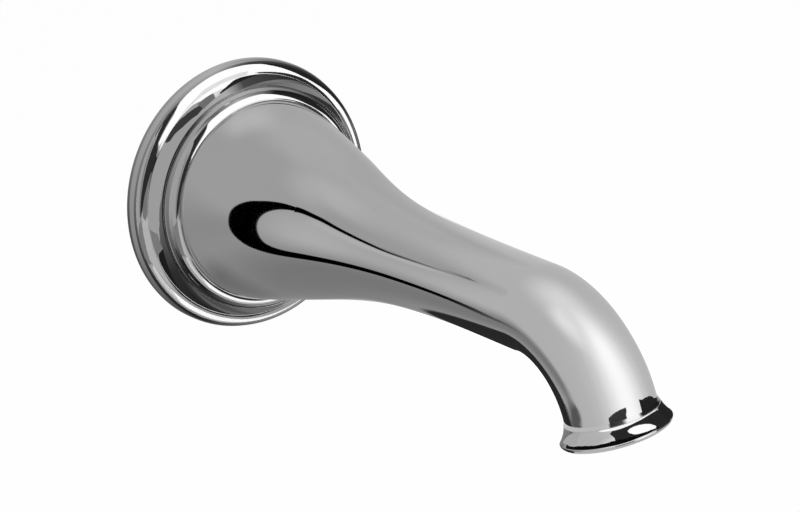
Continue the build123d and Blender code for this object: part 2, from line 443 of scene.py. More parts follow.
def bowed(start, end, bulge, count=21):
    """Arc between two points whose middle is this far outside the straight line, or inside if negative."""
    chord = np.array(end, float) - np.array(start, float)
    half_turn = 2 * math.atan(2 * bulge / np.hypot(*chord))
    outward = np.array([chord[1], -chord[0]])
    return arc(start, end, math.cos(half_turn) * chord + math.sin(half_turn) * outward, count)


def joined(stretches, rounds):
    """One line from stretches that meet end to end, with a round of this size at each meeting."""
    line = [stretches[0][0]]
    for number, stretch in enumerate(stretches):
        body = list(stretch[1:-1])
        corner = stretch[-1]
        size = rounds[number] if number < len(rounds) else 0
        line += body
        if not size or number == len(stretches) - 1:
            line.append(corner)
            continue
        after = stretches[number + 1]
        before = shortened(line, corner, size)
        ahead = first_beyond(after, size)
        share = np.linspace(0, 1, ROUND_STEPS + 1)[:, None]
        bow = (1 - share) ** 2 * before + 2 * share * (1 - share) * corner + share**2 * ahead
        line += list(bow)
        stretches[number + 1] = np.array([ahead] + [p for p in after if np.hypot(*(p - corner)) > size * 1.2])
    return np.array(line)


def shortened(line, corner, size):
    """Drops the line's last points that are within a distance of the corner; gives the cut point."""
    while len(line) > 1 and np.hypot(*(line[-1] - corner)) < size * 1.2:
        line.pop()
    way = (line[-1] - corner) / np.hypot(*(line[-1] - corner))
    return corner + way * size


def first_beyond(stretch, size):
    """The point on a stretch at a distance from its start."""
    corner = stretch[0]
    far = next(p for p in stretch[1:] if np.hypot(*(p - corner)) >= size)
    return corner + (far - corner) / np.hypot(*(far - corner)) * size


def turned(profile, corner=0.0):
    """Rings about the wall's normal from (radius, height) points."""
    return [((0, -height, 0), 0.0, radius, corner) for radius, height in profile]


print("profile helpers ready")

# %% [markdown]
# ## The wall flange
# A turned ring that covers the hole in the wall: a rim that leans in, a rolled edge, a domed ledge, a
# hollow cove, and a collar with a round shoulder up to the seat of the spout. The hollow behind holds
# the rubber gasket. It could be a Screw modifier on a drawn line; as rings, it shares the tree with
# the body.

# %% Turn the flange
FLANGE_FACE = [
    straight((38.0, 0.0), (39.6, 0.0), 4),
    straight((39.6, 0.0), (40.0, 0.4), 3),
    straight((40.0, 0.4), (40.0, 2.0), 5),
    straight((40.0, 2.0), (39.6, 3.4), 7),
    bowed((39.6, 3.4), (38.7, 4.6), 0.14),
    bowed((38.7, 4.6), (36.0, 5.5), 0.17),
    bowed((36.0, 5.5), (33.1, 9.1), -0.18),
    bowed((33.1, 9.1), (32.3, 11.35), 0.18),
    bowed((32.3, 11.35), (30.0, 13.0), 0.21),
    straight((30.0, 13.0), (26.6, 13.0), 5),
]
FLANGE_ROUNDS = [0.0, 0.0, 0.0, 0.0, 0.0, 0.12, 0.12, 0.0, 0.0]
FLANGE_BACK = [
    (26.6, 10.4), (29.9, 10.4), (29.9, 4.2), (34.6, 4.2), (34.6, 2.0), (38.0, 2.0),
]
flange_line = np.vstack([joined(FLANGE_FACE, FLANGE_ROUNDS), FLANGE_BACK])
flange = from_rings("flange_skin", turned(flange_line), flange_chrome)

# %% [markdown]
# ## The spout body
# One casting in four stretches: a flare that narrows along a smooth curve, a straight arm, a round
# bend and a nose with a small flared lip. The waterway runs back inside to a wall with a hole, and
# behind that wall a hub slides over the pipe adapter. Outside and inside make one closed chain of
# rings, because water passes right through.

# %% Path of the body
SEAT_HEIGHT = 13.0
ARM_DROOP = 1.4
FLARE_LENGTH = 122.0
ARM_LENGTH = 134.8
BASE_RADIUS = 29.7
BASE_BORE_RADIUS = 27.1
ARM_RADIUS = 12.85
BORE_RADIUS = 10.25
BEND_RADIUS = 25.5
OUTLET_ANGLE = 81.6


def along(angle):
    """Unit vector along the waterway where it falls by this angle."""
    return np.array([0.0, -math.cos(math.radians(angle)), -math.sin(math.radians(angle))])


def inward(angle):
    """Unit vector from the waterway's middle to the inside of the bend."""
    return np.array([0.0, math.sin(math.radians(angle)), -math.cos(math.radians(angle))])


SEAT = np.array([0.0, -SEAT_HEIGHT, 0.0])
ARM_END = SEAT + along(ARM_DROOP) * ARM_LENGTH
BEND_CENTRE = ARM_END + inward(ARM_DROOP) * BEND_RADIUS
BEND_END = BEND_CENTRE - inward(OUTLET_ANGLE) * BEND_RADIUS
print("nose starts at", BEND_END.round(2))

# %% Flare, bend and nose as rings
BASE_TAPER = math.tan(math.radians(12.5))
FLARE_LEAD = 58.5
FLARE_TAIL = 68.0
FLARE_SAMPLES = 4000
TILT_RUN = 20.0


def flare_curve(base, neck, count):
    """Stations along the flare: distance from the seat, radius and slope."""
    t = np.linspace(0, 1, count)
    weights = np.stack([(1 - t) ** 3, 3 * t * (1 - t) ** 2, 3 * t**2 * (1 - t), t**3])
    station = weights.T @ np.array([0, FLARE_LEAD, FLARE_LENGTH - FLARE_TAIL, FLARE_LENGTH])
    radius = weights.T @ np.array([base, base - FLARE_LEAD * BASE_TAPER, neck, neck])
    return station, radius, np.gradient(radius, station)


def arm_ring(station, radius, slope, tilt):
    """Ring round the drooping arm whose plane has its own tilt, so that it can lie on the seat."""
    off = math.radians(ARM_DROOP - tilt)
    centre = SEAT + along(ARM_DROOP) * station - inward(tilt) * (-slope * radius * off)
    return (tuple(centre), tilt, radius, 0.0)


def flare_rings(base, neck, first_height, count):
    """Rings from a height above the wall to the flare's end; the first lies parallel to the wall."""
    station, radius, slope = flare_curve(base, neck, FLARE_SAMPLES)
    first = (first_height - SEAT_HEIGHT) / math.cos(math.radians(ARM_DROOP))
    rings = []
    for place in np.linspace(first, FLARE_LENGTH, count):
        tilt = ARM_DROOP * min(1.0, (place - first) / TILT_RUN)
        here = [np.interp(place, station, values) for values in (radius, slope)]
        rings.append(arm_ring(place, *here, tilt))
    return rings


def arm_rings(radius, count):
    stations = np.linspace(FLARE_LENGTH, ARM_LENGTH, count)
    return [arm_ring(place, radius, 0.0, ARM_DROOP) for place in stations]


def bend_rings(radius, count):
    angles = np.linspace(ARM_DROOP, OUTLET_ANGLE, count)
    return [(tuple(BEND_CENTRE - inward(a) * BEND_RADIUS), a, radius, 0.0) for a in angles]


def nose_rings(line):
    """Rings along the outlet's axis from (distance, radius) points."""
    return [(tuple(BEND_END + along(OUTLET_ANGLE) * x), OUTLET_ANGLE, radius, 0.0) for x, radius in line]


flare_stations, flare_radii, flare_slopes = flare_curve(BASE_RADIUS, ARM_RADIUS, FLARE_SAMPLES)
half_way = np.interp(FLARE_LENGTH / 2, flare_stations, flare_radii)
print("flare radius half way:", round(float(half_way), 2), "mm")

# %% Outside of the body
SKIRT_TAPER = math.radians(14.0)
LIP_LINE = joined([
    straight((0.0, ARM_RADIUS), (1.4, ARM_RADIUS), 6),
    arc((1.4, ARM_RADIUS), (2.3, 13.3), (1, 0), 13),
    arc((2.3, 13.3), (6.6, 15.5), (math.cos(SKIRT_TAPER), math.sin(SKIRT_TAPER)), 21),
    straight((6.6, 15.5), (6.9, 15.5), 3),
    arc((6.9, 15.5), (7.9, 14.5), (1, 0), 13),
    straight((7.9, 14.5), (7.9, 13.2), 5),
    arc((5.5, BORE_RADIUS), (7.9, 13.2), (1, 0), 13)[::-1],
], [0.0, 0.12, 0.15, 0.0, 0.0, 0.2])
BASE_EDGE = 0.3
base_ring = arm_ring(0.0, flare_radii[0], flare_slopes[0], 0.0)
across, height, drop = base_ring[0]
base_edge = [
    ((across, height, drop), 0.0, base_ring[2] - BASE_EDGE, 0.0),
    ((across, height - 0.2 * BASE_EDGE, drop), 0.0, base_ring[2] - 0.4 * BASE_EDGE, 0.0),
]
outside = (
    base_edge
    + flare_rings(BASE_RADIUS, ARM_RADIUS, SEAT_HEIGHT + BASE_EDGE, 150)
    + arm_rings(ARM_RADIUS, 12)[1:]
    + bend_rings(ARM_RADIUS, 72)[1:]
    + nose_rings(LIP_LINE)[1:]
)
print("outside:", len(outside), "rings")

# %% Inside of the body
BULKHEAD_FRONT = 47.0
BULKHEAD_BACK = 43.0
BASE_RING_FRONT = 16.0
SPIGOT_BACK = 10.0
waterway = (
    nose_rings([(5.5 - 0.9 * k, BORE_RADIUS) for k in range(1, 6)])
    + bend_rings(BORE_RADIUS, 36)[::-1]
    + arm_rings(BORE_RADIUS, 4)[::-1][1:]
    + flare_rings(BASE_BORE_RADIUS, BORE_RADIUS, BULKHEAD_FRONT, 40)[::-1][1:]
)
dry_room = flare_rings(BASE_BORE_RADIUS, BORE_RADIUS, BASE_RING_FRONT, 120)
dry_room = [ring for ring in dry_room if -ring[0][1] < BULKHEAD_BACK]
dry_rings = [(centre, 0.0, radius, 0.0) for centre, _, radius, _ in dry_room[::3]]
front_dry = flare_rings(BASE_BORE_RADIUS, BORE_RADIUS, BULKHEAD_BACK, 60)[0]
hub_and_spigot = turned([
    (10.5, BULKHEAD_FRONT), (10.5, BULKHEAD_BACK), (13.6, BULKHEAD_BACK),
    (13.6, SPIGOT_BACK), (17.0, SPIGOT_BACK), (17.0, BULKHEAD_BACK),
])
spigot = turned([(23.9, BASE_RING_FRONT), (23.9, SPIGOT_BACK), (26.5, SPIGOT_BACK), (26.5, SEAT_HEIGHT)])
inside = waterway + hub_and_spigot + [front_dry] + dry_rings[::-1] + spigot
body = from_rings("body_skin", outside + inside, body_chrome)

# %% [markdown]
# A boss joins the hub to the wall of the flare, and the set screw runs through it. Both are simple
# round forms across the body's axis, so a Boolean modifier adds one and cuts the other.

# %% Boss and screw hole
SCREW_HEIGHT = 20.5


def upright_rod(name, radius, top, bottom):
    """Closed rod on the set screw's axis, between two depths below the body's axis."""
    depths = ((0.0, top), (radius, top), (radius, bottom), (0.0, bottom))
    rings = [((0, -SCREW_HEIGHT, -depth), 90.0, r, 0.0) for r, depth in depths]
    return from_rings(name, rings, body_chrome, closed=False, steps=48)


def combine(piece, tool, operation):
    step = piece.modifiers.new(tool.name, "BOOLEAN")
    step.operation = operation
    step.solver = "EXACT"
    step.object = tool
    baked(piece)
    bpy.data.objects.remove(tool)


combine(body, upright_rod("boss", radius=5.5, top=15.2, bottom=26.5), "UNION")
combine(body, upright_rod("screw_hole", radius=3.05, top=12.6, bottom=32.0), "DIFFERENCE")
body.data.set_sharp_from_angle(angle=SHARP_ANGLE)
print("body:", len(body.data.polygons), "faces,", round(signed_volume(body.data) / MM**3), "mm3,",
      open_edges(body.data), "open edges")

# %% [markdown]
# ## Finishes of the hidden pieces
# Behind the flange sit a turned brass adapter, a rubber gasket, two rubber rings and a steel screw.
# Brass keeps the fine rings that a lathe tool leaves, so its roughness and bump follow the distance
# from the wall. Rubber is dark and dull, with a fine grain. The screw is plain steel with fine marks.

# %% Brass, rubber and steel
def tool_marks(net, where, per_metre):
    """Fine rings across the wall's normal, between 0 and 1."""
    place = net.add("ShaderNodeSeparateXYZ", {}, {"Vector": where}, out="Y")
    jitter = net.add("ShaderNodeTexNoise", {}, {"Vector": where, "Scale": 300.0, "Detail": 2.0})
    phase = place * (math.tau * per_metre) + jitter.out(0) * 2.0
    return 0.5 + 0.5 * phase.math("SINE", phase)


def turned_metal(name, dark, bright, rings_per_metre, roughness):
    material, net, shader = new_finish(name, {"Metallic": 1.0})
    where = net.add("ShaderNodeTexCoord", out="Object")
    marks = tool_marks(net, where, rings_per_metre)
    stain = net.add("ShaderNodeTexNoise", {}, {"Vector": where, "Scale": 90.0, "Detail": 5.0})
    tone = net.add("ShaderNodeMix", {"data_type": "RGBA"}, {
        "Factor": stain.out(0), "A": (*dark, 1.0), "B": (*bright, 1.0),
    }, out=2)
    bump = net.add("ShaderNodeBump", {}, {"Height": marks, "Strength": 0.12, "Distance": 0.0001})
    feed(net, shader, Base_Color=tone, Roughness=roughness + 0.12 * marks + 0.1 * stain.out(0), Normal=bump)
    return material


def rubber(name, tone, roughness):
    material, net, shader = new_finish(name, {"Metallic": 0.0, "Specular IOR Level": 0.35})
    where = net.add("ShaderNodeTexCoord", out="Object")
    grain = net.add("ShaderNodeTexNoise", {}, {"Vector": where, "Scale": 1400.0, "Detail": 3.0})
    dust = net.add("ShaderNodeTexNoise", {}, {"Vector": where, "Scale": 120.0, "Detail": 4.0})
    shade = net.add("ShaderNodeMix", {"data_type": "RGBA"}, {
        "Factor": dust.out(0), "A": grey(tone * 0.7), "B": grey(tone * 1.5),
    }, out=2)
    bump = net.add("ShaderNodeBump", {}, {"Height": grain.out(0), "Strength": 0.25, "Distance": 0.0001})
    feed(net, shader, Base_Color=shade, Roughness=roughness + 0.15 * dust.out(0), Normal=bump)
    return material


adapter_brass = turned_metal("turned_brass", (0.62, 0.42, 0.17), (0.78, 0.58, 0.29), 2600.0, 0.14)
screw_steel = turned_metal("screw_steel", (0.42, 0.42, 0.42), (0.56, 0.56, 0.55), 4000.0, 0.2)
gasket_rubber = rubber("gasket_rubber", 0.03, 0.6)
seal_rubber = rubber("seal_rubber", 0.02, 0.35)
print("finishes:", [m.name for m in (adapter_brass, screw_steel, gasket_rubber, seal_rubber)])

# %% [markdown]
# ## Adapter, seals, gasket and screw
# All of these are turned too, so they use the ring tree again. The adapter's hexagon and the screw's
# socket are rings with six flats: such a ring carries the distance of its corners, and a corner that
# is held a little short gives the bevel that a real hexagon has on its face.

# %% Turn the hidden pieces
HEX_CORNER = 17.3205
HEX_BEVEL = 16.3


def grooved_sleeve():
    """Profile of the adapter's sleeve between the hexagon and its front end."""
    line = [(13.5, 8.0)]
    for middle, half, floor in ((20.5, 3.2, 12.6), (29.0, 1.7, 11.55), (36.0, 1.7, 11.55)):
        low, high = middle - half, middle + half
        line += [(13.5, low), (floor, low), (floor, high), (13.5, high)]
    return line + [(13.5, 41.0), (12.5, 42.0)]


adapter_rings = (
    turned([(11.25, 2.0)])
    + turned([(15.0, 2.0)], HEX_BEVEL)
    + turned([(15.0, 2.6), (15.0, 8.0)], HEX_CORNER)
    + turned(grooved_sleeve())
    + turned([(7.5, 42.0), (7.5, 20.95), (10.45, 18.0), (10.45, 2.8)])
)
adapter = from_rings("adapter_sleeve", adapter_rings, adapter_brass)

gasket_line = joined([
    straight((36.3, 0.0), (37.9, 0.0), 4), straight((37.9, 0.0), (37.9, 2.0), 5),
    straight((37.9, 2.0), (34.7, 2.0), 5), straight((34.7, 2.0), (34.7, 0.0), 5),
    straight((34.7, 0.0), (36.3, 0.0), 4),
], [0.3, 0.3, 0.3, 0.3])
gasket = from_rings("gasket_ring", turned(gasket_line[:-1]), gasket_rubber)


SEAL_MIDDLE = 12.575
SEAL_ROUND = 1.025
SEAL_FLAT = 0.425


def seal(name, height):
    """Rubber ring squeezed between the groove's floor and the hub: a rounded section."""
    section = []
    for turn_by in np.linspace(0, math.tau, 32, endpoint=False):
        lift = SEAL_FLAT if math.sin(turn_by) > 0 else -SEAL_FLAT
        reach = SEAL_MIDDLE + SEAL_ROUND * math.cos(turn_by)
        section.append((reach, height + lift + SEAL_ROUND * math.sin(turn_by)))
    return from_rings(name, turned(section), seal_rubber)


rear_seal = seal("rear_seal", 29.0)
front_seal = seal("front_seal", 36.0)

# %% Turn the set screw
SOCKET_CORNER = 1.7320


def screw_rings():
    line = [(0.0, 12.65, 0.0), (1.5, 12.65, 0.0), (3.0, 14.15, 0.0)]
    for turn_number in range(9):
        top = 14.5 + turn_number
        line += [(3.0, top, 0.0), (2.62, top + 0.45, 0.0), (3.0, top + 0.9, 0.0)]
    line += [(3.0, 24.35, 0.0), (2.7, 24.65, 0.0)]
    line += [(1.5, 24.65, SOCKET_CORNER), (1.5, 21.15, SOCKET_CORNER), (0.0, 21.15, 0.0)]
    return [((0, -SCREW_HEIGHT, -depth), 90.0, radius, corner) for radius, depth, corner in line]


screw = from_rings("set_screw_steel", screw_rings(), screw_steel, closed=False, steps=96)

# %% [markdown]
# ## The pipe thread
# The adapter's bore is plain in the solid, at the thread's outer size. A real one has a ridge that
# winds up the bore. A ridge along a helix is a path with a section, so a second small tree sweeps a
# trapezoid along Blender's own spiral.

# %% Geometry Nodes tree: thread ridge
THREAD_SOCKETS = (
    ("Turns", "NodeSocketFloat"),
    ("Pitch", "NodeSocketFloat"),
    ("Path Radius", "NodeSocketFloat"),
    ("Ridge Depth", "NodeSocketFloat"),
    ("Start", "NodeSocketFloat"),
    ("Finish", "NodeSocketMaterial"),
)
SECTION_TURN = math.pi / 2
RIDGE_CREST = 0.25
RIDGE_ROOT = 0.85


def thread_tree():
    net, given = new_tree("thread_ridge", THREAD_SOCKETS)
    pitch = given.out("Pitch")
    turns = given.out("Turns")
    path = net.add("GeometryNodeCurveSpiral", {}, {
        "Resolution": 48, "Rotations": turns, "Height": turns * pitch,
        "Start Radius": given.out("Path Radius"), "End Radius": given.out("Path Radius"),
    })
    path = net.add("GeometryNodeSetCurveNormal", {"mode": "Z_UP"}, {"Curve": path})
    section = net.add("GeometryNodeCurvePrimitiveQuadrilateral", {"mode": "TRAPEZOID"}, {
        "Height": given.out("Ridge Depth"),
        "Bottom Width": pitch * RIDGE_CREST,
        "Top Width": pitch * RIDGE_ROOT,
        "Offset": 0.0,
    })
    section = net.add("GeometryNodeTransform", {}, {
        "Geometry": section, "Rotation": (0.0, 0.0, SECTION_TURN),
    })
    ridge = net.add("GeometryNodeCurveToMesh", {}, {
        "Curve": path, "Profile Curve": section, "Fill Caps": True,
    })
    drop = net.add("ShaderNodeCombineXYZ", {}, {"Y": given.out("Start") * -1.0})
    ridge = net.add("GeometryNodeTransform", {}, {
        "Geometry": ridge, "Translation": drop, "Rotation": (math.pi / 2, 0.0, 0.0),
    })
    ridge = net.add("GeometryNodeRealizeInstances", {}, {"Geometry": ridge})
    ridge = net.add("GeometryNodeSetMaterial", {}, {"Geometry": ridge, "Material": given.out("Finish")})
    net.add("NodeGroupOutput", {}, {"Geometry": ridge})
    return net.tree


thread = made_by(thread_tree(), new_piece("pipe_thread", bpy.data.meshes.new("pipe_thread")), {
    "Turns": 7.5,
    "Pitch": 1.814 * MM,
    "Path Radius": 10.05 * MM,
    "Ridge Depth": 0.9 * MM,
    "Start": 3.4 * MM,
    "Finish": adapter_brass,
})
if signed_volume(thread.data) < 0:
    thread.data.flip_normals()
spread = np.array([v.co for v in thread.data.vertices]) / MM
reach = np.hypot(spread[:, 0], spread[:, 2])
print("thread:", len(thread.data.polygons), "faces, radius", reach.min().round(2), "to", reach.max().round(2),
      "mm, height", (-spread[:, 1]).min().round(2), "to", (-spread[:, 1]).max().round(2), "mm,",
      open_edges(thread.data), "open edges")

# %% [markdown]
# ## Hand the pieces to the frame
# Each new piece rides on the spout's one body and takes the place of its CAD node. The thread is an
# addition to the adapter, so it replaces nothing.

# %% Ride and replace
PIECES = (
    (body, "spout_body", "body_chrome"),
    (flange, "wall_flange", "flange_chrome"),
    (gasket, "wall_gasket", "gasket_rubber"),
    (adapter, "inlet_adapter", "adapter_brass"),
    (rear_seal, "rear_o_ring", "seal_rubber"),
    (front_seal, "front_o_ring", "seal_rubber"),
    (screw, "set_screw", "screw_steel"),
)
for piece, node, slot in PIECES:
    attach(piece, "root")
    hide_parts(node)
    low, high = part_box(node)
    made = np.array([v.co for v in piece.data.vertices])
    gap = max(np.abs(made.min(0) - np.array(low)).max(), np.abs(made.max(0) - np.array(high)).max())
    print(piece.name, "differs from its node's box by", round(gap / MM, 3), "mm")
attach(thread, "root")

# %% [markdown]
# ## The studio
# A mirror-bright piece is lit by what it sees. The ground is a plain white floor, and one soft lamp
# lights what is dull. Everything else is there for the chrome and shows only in reflections: a round
# tent of cloth, brightest straight in front of the nose, and cards inside it. The camera looks past
# them to the white ground, as it would through a slit in a real light tent.

# %% White ground and soft lamp
scene = bpy.context.scene
scene.view_settings.view_transform = "Standard"
world = bpy.data.worlds.new("studio_air")
scene.world = world
world.use_nodes = True
air = Net(world.node_tree)
background = next(n for n in world.node_tree.nodes if n.type == "BACKGROUND")
background.inputs["Color"].default_value = grey(1.0)
AIR_LEVEL = 0.75


def seen_directly(net):
    """1 for rays from the camera, off metal or through glass, and 0 for the light on dull surfaces."""
    rays = net.add("ShaderNodeLightPath")
    seen = rays.out("Is Camera Ray") + rays.out("Is Glossy Ray") + rays.out("Is Transmission Ray")
    return seen.math("MINIMUM", seen, 1.0)


seen = seen_directly(air)
world.node_tree.links.new((AIR_LEVEL + (1.0 - AIR_LEVEL) * seen).socket, background.inputs["Strength"])

FLOOR_HEIGHT = -0.35
FLOOR_HALF = 6.0


def bare_material(name):
    """A material with an empty node tree."""
    material = bpy.data.materials.new(name)
    material.use_nodes = True
    material.node_tree.nodes.clear()
    return material, Net(material.node_tree)


def pale_floor():
    signs = ((-1, -1), (1, -1), (1, 1), (-1, 1))
    corners = [(x * FLOOR_HALF, y * FLOOR_HALF, FLOOR_HEIGHT) for x, y in signs]
    mesh = bpy.data.meshes.new("pale_floor")
    mesh.from_pydata(corners, [], [(0, 1, 2, 3)])
    floor = new_piece("pale_floor", mesh)
    material, net = bare_material("pale_floor")
    dull = net.add("ShaderNodeBsdfDiffuse", {}, {"Color": grey(0.9)})
    bright = net.add("ShaderNodeEmission", {}, {"Color": grey(1.0)})
    top = net.add("ShaderNodeMixShader", {}, {0: seen_directly(net) * 0.95, 1: dull, 2: bright})
    under = net.add("ShaderNodeBsdfTransparent")
    from_below = net.add("ShaderNodeNewGeometry", out="Backfacing")
    sheet = net.add("ShaderNodeMixShader", {}, {0: from_below, 1: top, 2: under})
    net.add("ShaderNodeOutputMaterial", {}, {"Surface": sheet})
    mesh.materials.append(material)
    return floor


floor = pale_floor()
floor.visible_glossy = False


def soft_lamp(name, place, aim, size, watts):
    """Square area lamp that lights dull surfaces and stays out of the reflections."""
    lamp = bpy.data.lights.new(name, "AREA")
    lamp.size = size
    lamp.energy = watts
    holder = bpy.data.objects.new(name, lamp)
    scene.collection.objects.link(holder)
    holder.location = place
    holder.rotation_euler = (Vector(aim) - Vector(place)).to_track_quat("-Z", "Y").to_euler()
    holder.visible_glossy = False
    return holder


MIDDLE = Vector((0.0, -0.09, -0.005))
soft_lamp("overhead_lamp", place=(-0.3, -0.5, 1.2), aim=MIDDLE, size=1.0, watts=9.0)
print("air level", AIR_LEVEL, "and one overhead lamp")

# %% [markdown]
# The tent's cloth is lit from the front right, so its glow depends on the direction: a ramp over the
# angle away from straight ahead, a paler top and an even foot. Chrome returns only a part of the light,
# so a tone in the picture is turned into the level that a card needs.

# %% Tent of lit cloth
TENT_RADIUS = 6.0
TENT_TURN = math.radians(11)
TENT_WHITE = 1.67
TENT_RAMP = (
    (0.0, 0.70), (0.2, 0.70), (0.355, 0.71), (0.525, 0.735), (0.695, 0.80), (0.84, 0.98), (0.945, 1.30),
    (1.0, 1.58),
)
TENT_TOP = 1.10
TENT_TOP_START = 0.616
TENT_TOP_POWER = 2.25
TENT_FOOT = 0.72
TENT_FOOT_START = -0.21
TENT_FOOT_END = -0.34


def level_of(tone):
    """Light level that the chrome shows as a tone between 0 and 255."""
    share = tone / 255
    return (share / 12.92 if share <= 0.04045 else ((share + 0.055) / 1.055) ** 2.4) / CHROME_TONE


def only_in_reflections(card):
    card.visible_camera = False
    card.visible_diffuse = False
    card.visible_shadow = False
    card.visible_transmission = False
    card.visible_volume_scatter = False


def tent_cloth():
    material, net = bare_material("tent_cloth")
    place = net.add("ShaderNodeSeparateXYZ", {}, {"Vector": net.add("ShaderNodeTexCoord", out="Object")})
    x, y, z = (place.out(axis) for axis in "XYZ")
    away = x * x + y * y
    ahead = (math.sin(TENT_TURN) * x - math.cos(TENT_TURN) * y) / away.math("SQRT", away)
    stops = [(spot, tone / TENT_WHITE) for spot, tone in TENT_RAMP]
    cloth = net.add("ShaderNodeValToRGB", {"stops": stops}, {"Fac": 0.5 + 0.5 * ahead})
    steep = net.add("ShaderNodeMapRange", {}, {
        "Value": z / TENT_RADIUS, "From Min": TENT_TOP_START, "From Max": 1.0, "To Min": 0.0, "To Max": 1.0,
    })
    glow = net.add("ShaderNodeMix", {"data_type": "RGBA"}, {
        "Factor": steep.math("POWER", steep, TENT_TOP_POWER),
        "A": cloth,
        "B": grey(TENT_TOP / TENT_WHITE),
    }, out=2)
    low = net.add("ShaderNodeMapRange", {}, {
        "Value": z / TENT_RADIUS, "From Min": TENT_FOOT_START, "From Max": TENT_FOOT_END,
        "To Min": 0.0, "To Max": 1.0,
    })
    glow = net.add("ShaderNodeMix", {"data_type": "RGBA"}, {
        "Factor": low, "A": glow, "B": grey(TENT_FOOT / TENT_WHITE),
    }, out=2)
    shine = net.add("ShaderNodeEmission", {}, {"Color": glow, "Strength": TENT_WHITE})
    net.add("ShaderNodeOutputMaterial", {}, {"Surface": shine})
    return material


bpy.ops.mesh.primitive_uv_sphere_add(segments=96, ring_count=48, radius=TENT_RADIUS, location=MIDDLE)
tent = bpy.context.object
tent.name = "cloth_tent"
tent.data.materials.append(tent_cloth())
only_in_reflections(tent)
print("tent of", TENT_RADIUS, "m; white is level", round(level_of(255), 2))

# %% [markdown]
# A card shines on its front only and is clear from behind, so a card can stand close to one piece and
# stay out of the others' reflections. A ribbon card follows a line of points, each with a half width,
# and can fade out at its ends and sides. Several flat cards on one plane make a sheet: they are laid
# over each other like cut paper, and Blender's triangulation keeps only the one on top.

# %% Ribbon cards and cut sheets
from mathutils.geometry import delaunay_2d_cdt

RIBBON_ROWS = 5
RIBBON_STEPS = 6
RING_STEPS = 180


def card_finish(name, level, feather=None, stops=None):
    """Light on a card's front. A feather of (first end, last end, sides) fades it out in shares of its size,
    and stops make its level run along the card."""
    material, net = bare_material(name)
    front = 1.0 - net.add("ShaderNodeNewGeometry", out="Backfacing")
    place = net.add("ShaderNodeSeparateXYZ", {}, {"Vector": net.add("ShaderNodeTexCoord", out="UV")})
    along_it, across = place.out("X"), place.out("Y")
    if feather:
        edges = (along_it, 1.0 - along_it, across.math("MINIMUM", across, 1.0 - across))
        for edge, share in zip(edges, feather):
            if share:
                front = front * net.add("ShaderNodeMapRange", {"interpolation_type": "SMOOTHSTEP"}, {
                    "Value": edge, "From Min": 0.0, "From Max": share, "To Min": 0.0, "To Max": 1.0,
                })
    glow = net.add("ShaderNodeValToRGB", {"stops": stops}, {"Fac": along_it}) if stops else grey(1.0)
    shine = net.add("ShaderNodeEmission", {}, {"Color": glow, "Strength": level})
    clear = net.add("ShaderNodeBsdfTransparent")
    shown = net.add("ShaderNodeMixShader", {}, {0: front, 1: clear, 2: shine})
    net.add("ShaderNodeOutputMaterial", {}, {"Surface": shown})
    return material


def new_card(name, mesh, facing, judges=None):
    """Turns a card's faces to a direction, judged by all of its faces or the first few, and hangs it up."""
    mesh.update()
    normals = np.empty(len(mesh.polygons) * 3)
    mesh.polygons.foreach_get("normal", normals)
    if (normals.reshape(-1, 3)[:judges] @ np.array(facing)).sum() < 0:
        mesh.flip_normals()
    made = new_piece(name, mesh)
    only_in_reflections(made)
    return made


def smooth_line(points):
    """More points on a smooth curve through these."""
    points = np.array(points, float)
    ends = np.vstack([2 * points[0] - points[1], points, 2 * points[-1] - points[-2]])
    share = np.linspace(0, 1, RIBBON_STEPS, endpoint=False)[:, None]
    line = []
    for a, b, c, d in zip(ends, ends[1:], ends[2:], ends[3:]):
        bow = 2 * a - 5 * b + 4 * c - d + share * (3 * (b - c) + d - a)
        line.append(b + 0.5 * share * (c - a + share * bow))
    return np.vstack(line + [points[-1:]])


def ribbon(name, level, feather, points, place, facing):
    """Card along points of (across, up, half width), put in space by a place function."""
    line = smooth_line(points)
    ahead = np.gradient(line[:, :2], axis=0)
    ahead /= np.linalg.norm(ahead, axis=1, keepdims=True)
    side = np.stack([-ahead[:, 1], ahead[:, 0]], axis=1) * line[:, 2:]
    corners, spread = [], []
    for number, (spot, out) in enumerate(zip(line[:, :2], side)):
        for row in np.linspace(0, 1, RIBBON_ROWS):
            corners.append(place(*(spot + (2 * row - 1) * out)))
            spread.append((number / (len(line) - 1), row))
    faces = []
    for number in range(len(line) - 1):
        for row in range(RIBBON_ROWS - 1):
            first = number * RIBBON_ROWS + row
            faces.append((first, first + 1, first + RIBBON_ROWS + 1, first + RIBBON_ROWS))
    mesh = bpy.data.meshes.new(name)
    mesh.from_pydata(corners, [], faces)
    uv = mesh.uv_layers.new(name="ribbon")
    for loop in mesh.loops:
        uv.data[loop.index].uv = spread[loop.vertex_index]
    mesh.materials.append(card_finish(name, level, feather))
    return new_card(name, mesh, facing)


def finely(outline, step):
    """Extra points along an outline, counter-clockwise, so that it stays true on a curved sheet."""
    if sum(a[0] * b[1] - a[1] * b[0] for a, b in zip(outline, outline[1:] + outline[:1])) < 0:
        outline = outline[::-1]
    line = []
    for start, end in zip(outline, outline[1:] + outline[:1]):
        pieces = max(1, math.ceil(math.dist(start, end) / step))
        line += [Vector(start).lerp(Vector(end), k / pieces) for k in range(pieces)]
    return line


